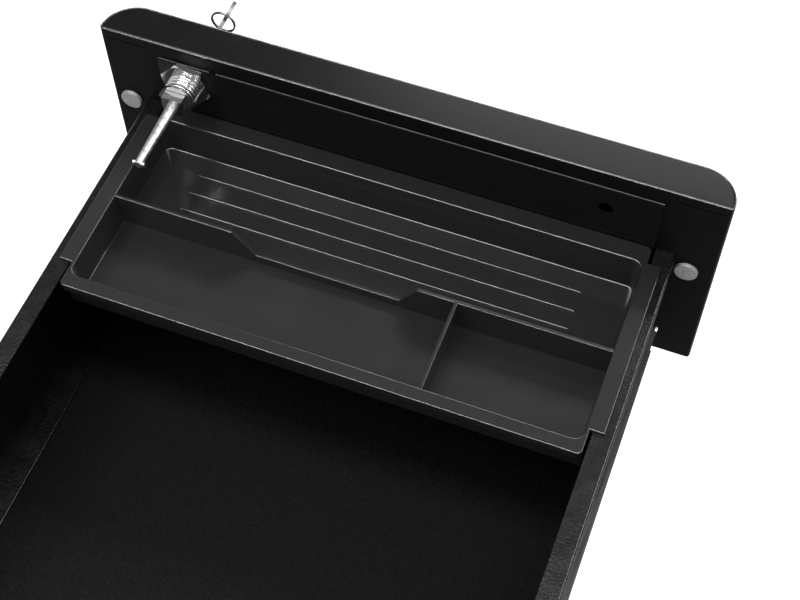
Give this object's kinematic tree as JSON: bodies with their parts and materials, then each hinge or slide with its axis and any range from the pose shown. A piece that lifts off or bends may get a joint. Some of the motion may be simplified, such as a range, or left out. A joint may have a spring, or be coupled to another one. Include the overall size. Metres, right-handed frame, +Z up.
{
  "type": "rolling drawer cart",
  "caption": "Black steel rolling under-desk drawer cart with round-edged fronts, telescopic slides, a lock with its key, a lift-out pen tray and swivel casters.",
  "frame": {"origin": "middle of the overall box's base, on the floor, with the top drawer pulled out", "axes": "+Z up, the fronts face -Y, +X to the right of someone facing the fronts"},
  "size_m": [0.39, 0.915, 0.6],
  "materials": {
    "black_steel": "black powder coat",
    "slide_steel": "black zinc plated",
    "tray_plastic": "semi-gloss",
    "bumper_rubber": "satin",
    "lock_chrome": "bright",
    "caster_steel": "zinc plated",
    "wheel_rubber": "satin",
    "brake_plastic": "matte"
  },
  "bodies": {
    "cabinet": {"side_panel_right": "black_steel", "side_panel_left": "black_steel", "back_panel": "black_steel", "top_panel": "black_steel", "base_panel": "black_steel", "plinth_rail": "black_steel", "slide_posts": "black_steel", "slide_cabinet_members": "slide_steel", "lock_keeper": "black_steel", "caster_plates": "caster_steel", "caster_screws": "caster_steel"},
    "bottom_drawer": {"bottom_front_panel": "black_steel", "bottom_inner_plate": "black_steel", "bottom_side_walls": "black_steel", "bottom_floor": "black_steel", "bottom_back_wall": "black_steel", "bottom_bumpers": "bumper_rubber", "bottom_slide_members": "slide_steel"},
    "bottom_slide_mids": {"bottom_slide_middles": "slide_steel", "bottom_slide_balls": "slide_steel"},
    "middle_drawer": {"middle_front_panel": "black_steel", "middle_inner_plate": "black_steel", "middle_side_walls": "black_steel", "middle_floor": "black_steel", "middle_back_wall": "black_steel", "middle_bumpers": "bumper_rubber", "middle_slide_members": "slide_steel"},
    "middle_slide_mids": {"middle_slide_middles": "slide_steel", "middle_slide_balls": "slide_steel"},
    "top_drawer": {"top_front_panel": "black_steel", "top_inner_plate": "black_steel", "top_side_walls": "black_steel", "top_floor": "black_steel", "top_back_wall": "black_steel", "top_bumpers": "bumper_rubber", "top_slide_members": "slide_steel", "lock_housing": "lock_chrome", "lock_nut": "lock_chrome"},
    "top_slide_mids": {"top_slide_middles": "slide_steel", "top_slide_balls": "slide_steel"},
    "tray": {"pen_tray": "tray_plastic"},
    "lock_plug": {"lock_plug": "lock_chrome", "lock_tail": "lock_chrome"},
    "lock_key": {"key": "lock_chrome"},
    "key_ring": {"key_ring": "lock_chrome", "spare_key": "lock_chrome"},
    "caster_front_right": {"caster_fork_front_right": "caster_steel", "caster_axle_front_right": "caster_steel"},
    "wheel_front_right": {"caster_wheel_front_right": "wheel_rubber"},
    "brake_front_right": {"brake_lever_front_right": "brake_plastic"},
    "caster_front_left": {"caster_fork_front_left": "caster_steel", "caster_axle_front_left": "caster_steel"},
    "wheel_front_left": {"caster_wheel_front_left": "wheel_rubber"},
    "brake_front_left": {"brake_lever_front_left": "brake_plastic"},
    "caster_rear_right": {"caster_fork_rear_right": "caster_steel", "caster_axle_rear_right": "caster_steel"},
    "wheel_rear_right": {"caster_wheel_rear_right": "wheel_rubber"},
    "caster_rear_left": {"caster_fork_rear_left": "caster_steel", "caster_axle_rear_left": "caster_steel"},
    "wheel_rear_left": {"caster_wheel_rear_left": "wheel_rubber"}
  },
  "joints": [
    {"name": "bottom_drawer_slide", "type": "slide", "parent": "cabinet", "child": "bottom_drawer", "axis": [0, -1, 0], "range_m": [0, 0.385]},
    {"name": "bottom_mids_slide", "type": "slide", "parent": "cabinet", "child": "bottom_slide_mids", "axis": [0, -1, 0], "range_m": [0, 0.1925]},
    {"name": "middle_drawer_slide", "type": "slide", "parent": "cabinet", "child": "middle_drawer", "axis": [0, -1, 0], "range_m": [0, 0.385]},
    {"name": "middle_mids_slide", "type": "slide", "parent": "cabinet", "child": "middle_slide_mids", "axis": [0, -1, 0], "range_m": [0, 0.1925]},
    {"name": "top_drawer_slide", "type": "slide", "parent": "cabinet", "child": "top_drawer", "axis": [0, 1, 0], "range_m": [0, 0.385]},
    {"name": "top_mids_slide", "type": "slide", "parent": "cabinet", "child": "top_slide_mids", "axis": [0, 1, 0], "range_m": [0, 0.1925]},
    {"name": "tray_slide", "type": "slide", "parent": "top_drawer", "child": "tray", "axis": [0, 1, 0], "range_m": [0, 0.2596]},
    {"name": "lock_turn", "type": "hinge", "parent": "top_drawer", "child": "lock_plug", "pos_m": [0.1392, -0.4165, 0.5493], "axis": [0, 1, 0], "range_deg": [0, 90]},
    {"name": "key_pull", "type": "slide", "parent": "lock_plug", "child": "lock_key", "axis": [0, -1, 0], "range_m": [0, 0.028]},
    {"name": "ring_swing", "type": "hinge", "parent": "lock_key", "child": "key_ring", "pos_m": [0.1392, -0.4485, 0.5493], "axis": [0.8988, 0, 0.4384], "range_deg": [-20, 20]},
    {"name": "swivel_front_right", "type": "hinge", "parent": "cabinet", "child": "caster_front_right", "pos_m": [0.133, 0.0595, 0.0583], "axis": [0, 0, 1], "continuous": true},
    {"name": "roll_front_right", "type": "hinge", "parent": "caster_front_right", "child": "wheel_front_right", "pos_m": [0.133, 0.0775, 0.025], "axis": [1, 0, 0], "continuous": true},
    {"name": "brake_front_right", "type": "hinge", "parent": "caster_front_right", "child": "brake_front_right", "pos_m": [0.133, 0.0835, 0.053], "axis": [-1, 0, 0], "range_deg": [0, 12]},
    {"name": "swivel_front_left", "type": "hinge", "parent": "cabinet", "child": "caster_front_left", "pos_m": [-0.133, 0.0595, 0.0583], "axis": [0, 0, 1], "continuous": true},
    {"name": "roll_front_left", "type": "hinge", "parent": "caster_front_left", "child": "wheel_front_left", "pos_m": [-0.133, 0.0775, 0.025], "axis": [1, 0, 0], "continuous": true},
    {"name": "brake_front_left", "type": "hinge", "parent": "caster_front_left", "child": "brake_front_left", "pos_m": [-0.133, 0.0835, 0.053], "axis": [-1, 0, 0], "range_deg": [0, 12]},
    {"name": "swivel_rear_right", "type": "hinge", "parent": "cabinet", "child": "caster_rear_right", "pos_m": [0.133, 0.3955, 0.0583], "axis": [0, 0, 1], "continuous": true},
    {"name": "roll_rear_right", "type": "hinge", "parent": "caster_rear_right", "child": "wheel_rear_right", "pos_m": [0.133, 0.4135, 0.025], "axis": [1, 0, 0], "continuous": true},
    {"name": "swivel_rear_left", "type": "hinge", "parent": "cabinet", "child": "caster_rear_left", "pos_m": [-0.133, 0.3955, 0.0583], "axis": [0, 0, 1], "continuous": true},
    {"name": "roll_rear_left", "type": "hinge", "parent": "caster_rear_left", "child": "wheel_rear_left", "pos_m": [-0.133, 0.4135, 0.025], "axis": [1, 0, 0], "continuous": true}
  ],
  "couplings": [
    {"joint": "bottom_mids_slide", "follows": "bottom_drawer_slide", "ratio": 0.5},
    {"joint": "middle_mids_slide", "follows": "middle_drawer_slide", "ratio": 0.5},
    {"joint": "top_mids_slide", "follows": "top_drawer_slide", "ratio": 0.5}
  ]
}
